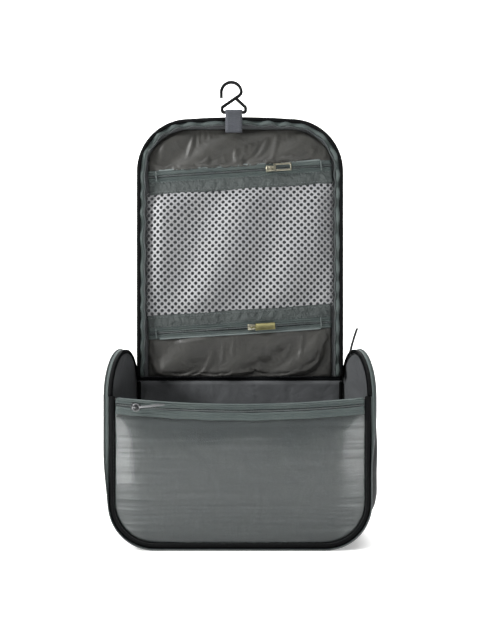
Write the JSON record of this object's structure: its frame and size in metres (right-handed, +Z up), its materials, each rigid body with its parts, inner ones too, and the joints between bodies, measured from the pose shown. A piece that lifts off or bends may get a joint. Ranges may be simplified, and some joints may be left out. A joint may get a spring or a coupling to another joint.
{
  "type": "hanging toiletry bag",
  "caption": "Soft toiletry bag with an arched open box, a folding zipped lid with netting and satin pockets, a clear front pocket and a wire hook for hanging.",
  "frame": {"origin": "middle of the underside of the base, on the surface that the bag stands on", "axes": "+Z up along the open lid, +Y from the clear front pocket to the back panel, +X to the right as seen from the front"},
  "size_m": [0.263, 0.0929, 0.4829],
  "materials": {
    "outer_fabric": "woven polyester, matt",
    "padding": "foam sheet",
    "lining": "smooth woven lining",
    "satin": "satin weave, soft shine",
    "netting": "open knitted mesh",
    "binding": "black ribbed binding tape",
    "zip_tape": "grey-green woven zip tape",
    "zip_coil": "moulded nylon coil",
    "window": "clear vinyl sheet, frosted",
    "webbing": "ribbed webbing",
    "board": "plain sheet",
    "hook_wire": "black coated wire",
    "slider_metal": "plated die casting",
    "dark_pull": "black enamel",
    "brass_pull": "dull antique brass"
  },
  "bodies": {
    "box": {"arch_binding": "binding", "back_foam": "padding", "back_lining": "lining", "back_panel": "outer_fabric", "back_piping": "binding", "base_board": "board", "base_foam": "padding", "base_lining": "lining", "base_panel": "outer_fabric", "front_binding": "binding", "front_foam": "padding", "front_lining": "lining", "front_panel": "outer_fabric", "front_zip_coil": "zip_coil", "front_zip_tape_lower": "zip_tape", "front_zip_tape_upper": "zip_tape", "hinge_fold": "outer_fabric", "main_zip_coil": "zip_coil", "main_zip_tape": "zip_tape", "side_foam_left": "padding", "side_foam_right": "padding", "side_lining_left": "lining", "side_lining_right": "lining", "side_panel_left": "outer_fabric", "side_panel_right": "outer_fabric", "window_film": "window"},
    "lid_lower": {"lid_lower_foam": "padding", "lid_lower_lining": "lining", "lid_lower_piping": "binding", "lid_lower_rim": "outer_fabric", "lid_lower_shell": "outer_fabric", "lid_lower_zip_coil": "zip_coil", "lid_lower_zip_tape": "zip_tape", "low_pocket": "satin", "low_zip_coil": "zip_coil", "low_zip_tape_lower": "zip_tape", "low_zip_tape_upper": "zip_tape", "netting_lower": "netting"},
    "lid_upper": {"hanger_tab": "webbing", "lid_upper_foam": "padding", "lid_upper_lining": "lining", "lid_upper_piping": "binding", "lid_upper_rim": "outer_fabric", "lid_upper_shell": "outer_fabric", "lid_upper_zip_coil": "zip_coil", "lid_upper_zip_tape": "zip_tape", "netting_upper": "netting", "top_panel": "satin", "top_zip_coil": "zip_coil", "top_zip_tape_lower": "zip_tape", "top_zip_tape_upper": "zip_tape"},
    "hook": {"hook": "hook_wire"},
    "top_slider": {"top_slider": "slider_metal"},
    "top_pull": {"top_pull": "slider_metal"},
    "low_slider": {"low_slider": "slider_metal"},
    "low_pull": {"low_pull": "brass_pull"},
    "front_slider": {"front_slider": "slider_metal"},
    "front_pull": {"front_pull": "dark_pull"},
    "main_slider": {"main_slider": "slider_metal"},
    "main_pull": {"main_pull": "dark_pull"}
  },
  "joints": [
    {"name": "lid_hinge", "type": "hinge", "parent": "box", "child": "lid_lower", "pos_m": [0, 0.0401, 0.152], "axis": [1, 0, 0], "range_deg": [-90, 70]},
    {"name": "lid_fold", "type": "hinge", "parent": "lid_lower", "child": "lid_upper", "pos_m": [0, 0.0369, 0.26], "axis": [1, 0, 0], "range_deg": [0, 110]},
    {"name": "hook_swing", "type": "hinge", "parent": "lid_upper", "child": "hook", "pos_m": [0, 0.0272, 0.448], "axis": [1, 0, 0], "range_deg": [-85, 75]},
    {"name": "top_zip", "type": "slide", "parent": "lid_upper", "child": "top_slider", "axis": [0.9978, 0, 0.0663], "range_m": [-0.12, 0.04]},
    {"name": "top_pull_flip", "type": "hinge", "parent": "top_slider", "child": "top_pull", "pos_m": [0.03343, 0.031, 0.38822], "axis": [0.0663, 0, -0.9978], "range_deg": [0, 170]},
    {"name": "low_zip", "type": "slide", "parent": "lid_lower", "child": "low_slider", "axis": [0.9978, 0, 0.0663], "range_m": [-0.1, 0.06]},
    {"name": "low_pull_flip", "type": "hinge", "parent": "low_slider", "child": "low_pull", "pos_m": [0.01317, 0.031, 0.21077], "axis": [0.0663, 0, -0.9978], "range_deg": [0, 170]},
    {"name": "front_zip", "type": "hinge", "parent": "box", "child": "front_slider", "pos_m": [0, -0.0417, 1.2652], "axis": [0, -1, 0], "range_deg": [-0.4, 9]},
    {"name": "front_pull_flip", "type": "hinge", "parent": "front_slider", "child": "front_pull", "pos_m": [-0.099, -0.0476, 0.13653], "axis": [-0.0874, 0, -0.9962], "range_deg": [0, 170]},
    {"name": "main_zip", "type": "hinge", "parent": "box", "child": "main_slider", "pos_m": [0.12225, 0, 0.146], "axis": [0.9958, 0.0911, 0], "range_deg": [-25, 130]},
    {"name": "main_pull_flip", "type": "hinge", "parent": "main_slider", "child": "main_pull", "pos_m": [0.12316, 0.03839, 0.17475], "axis": [0.9958, 0.0911, 0], "range_deg": [-120, 25]}
  ]
}
